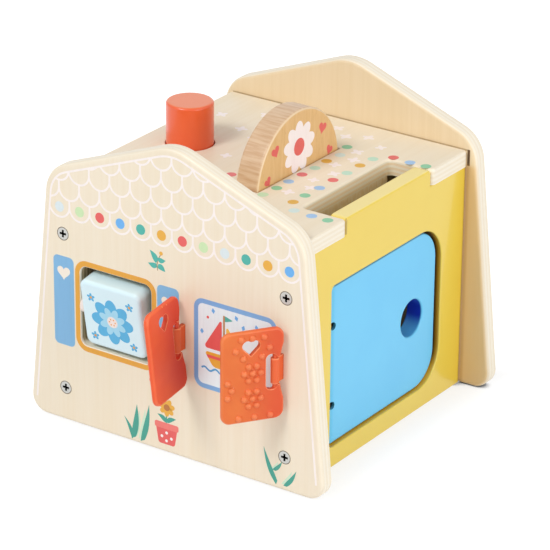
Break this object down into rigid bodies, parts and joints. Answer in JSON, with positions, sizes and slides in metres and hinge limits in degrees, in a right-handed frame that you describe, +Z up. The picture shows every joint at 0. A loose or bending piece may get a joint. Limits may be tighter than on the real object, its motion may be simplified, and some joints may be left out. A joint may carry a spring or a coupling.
{
  "type": "wooden hide-and-seek house",
  "caption": "Wooden toy house with a turning picture tile, soft swinging shutters, a picture wheel, a springy chimney, a posting slot and a hinged side door.",
  "frame": {"origin": "middle of the underside, where the floor board rests on the table", "axes": "+X to the right seen from the front, +Y from the front gable to the rear gable, +Z up"},
  "size_m": [0.1962, 0.2147, 0.1789],
  "materials": {
    "printed_plywood": "satin printed plywood",
    "bare_plywood": "fine sanded, clear matt lacquer",
    "yellow_panel": "satin paint",
    "blue_door": "satin paint",
    "tile_paint": "satin paint with a printed picture",
    "wheel_wood": "sanded beech with printed pictures",
    "orange_silicone": "soft matt silicone",
    "chimney_paint": "satin paint",
    "plain_wood": "sanded",
    "spacer_plastic": "matt",
    "inner_plastic": "matt",
    "screw_steel": "zinc plated",
    "pin_steel": "ground"
  },
  "bodies": {
    "house": {"front_gable": "printed_plywood", "rear_gable": "bare_plywood", "roof_board": "bare_plywood", "door_side_panel": "yellow_panel", "plain_side_panel": "bare_plywood", "floor_board": "bare_plywood", "slot_strip": "plain_wood", "front_screw_1": "screw_steel", "front_screw_2": "screw_steel", "front_screw_3": "screw_steel", "front_screw_4": "screw_steel", "rear_screw_1": "screw_steel", "rear_screw_2": "screw_steel", "rear_screw_3": "screw_steel", "rear_screw_4": "screw_steel", "roof_dowel_1": "plain_wood", "roof_dowel_2": "plain_wood", "roof_dowel_3": "plain_wood", "roof_dowel_4": "plain_wood", "floor_dowel_1": "plain_wood", "floor_dowel_2": "plain_wood", "floor_dowel_3": "plain_wood", "floor_dowel_4": "plain_wood", "tile_axle": "pin_steel", "tile_axle_plug": "plain_wood", "left_strap": "orange_silicone", "right_strap": "orange_silicone", "wheel_axle": "pin_steel", "axle_cap_1": "inner_plastic", "axle_cap_2": "inner_plastic", "cap_screw_1a": "screw_steel", "cap_screw_1b": "screw_steel", "cap_screw_2a": "screw_steel", "cap_screw_2b": "screw_steel", "chimney_spring": "pin_steel", "chimney_yoke": "inner_plastic", "yoke_screw_1": "screw_steel", "yoke_screw_2": "screw_steel", "door_stop": "plain_wood"},
    "tile": {"picture_tile": "tile_paint", "tile_spacer_left": "spacer_plastic", "tile_spacer_right": "spacer_plastic"},
    "left_leaf": {"left_shutter": "orange_silicone"},
    "right_leaf": {"right_shutter": "orange_silicone"},
    "wheel": {"picture_wheel": "wheel_wood"},
    "chimney": {"chimney": "chimney_paint", "chimney_disc": "plain_wood", "chimney_screw": "screw_steel"},
    "door": {"side_door": "blue_door", "hinge_pin_upper": "pin_steel", "hinge_pin_lower": "pin_steel", "set_screw_upper": "screw_steel", "set_screw_lower": "screw_steel"}
  },
  "joints": [
    {"name": "tile_turn", "type": "hinge", "parent": "house", "child": "tile", "pos_m": [-0.0381, -0.08565, 0.073], "axis": [1, 0, 0], "continuous": true},
    {"name": "left_leaf_swing", "type": "hinge", "parent": "house", "child": "left_leaf", "pos_m": [0.0072, -0.09525, 0.0734], "axis": [0, 0, -1], "range_deg": [-81, 67]},
    {"name": "right_leaf_swing", "type": "hinge", "parent": "house", "child": "right_leaf", "pos_m": [0.0709, -0.09525, 0.0734], "axis": [0, 0, 1], "range_deg": [-54, 105]},
    {"name": "wheel_spin", "type": "hinge", "parent": "house", "child": "wheel", "pos_m": [0.013, 0, 0.1384], "axis": [1, 0, 0], "continuous": true},
    {"name": "chimney_press", "type": "slide", "parent": "house", "child": "chimney", "axis": [0, 0, -1], "range_m": [0, 0.016], "stiffness_N_per_m": 300, "springref_m": -0.004, "deforming": ["chimney_spring"]},
    {"name": "door_swing", "type": "hinge", "parent": "house", "child": "door", "pos_m": [0.07155, -0.04725, 0.06], "axis": [0, 0, -1], "range_deg": [0, 95]}
  ]
}
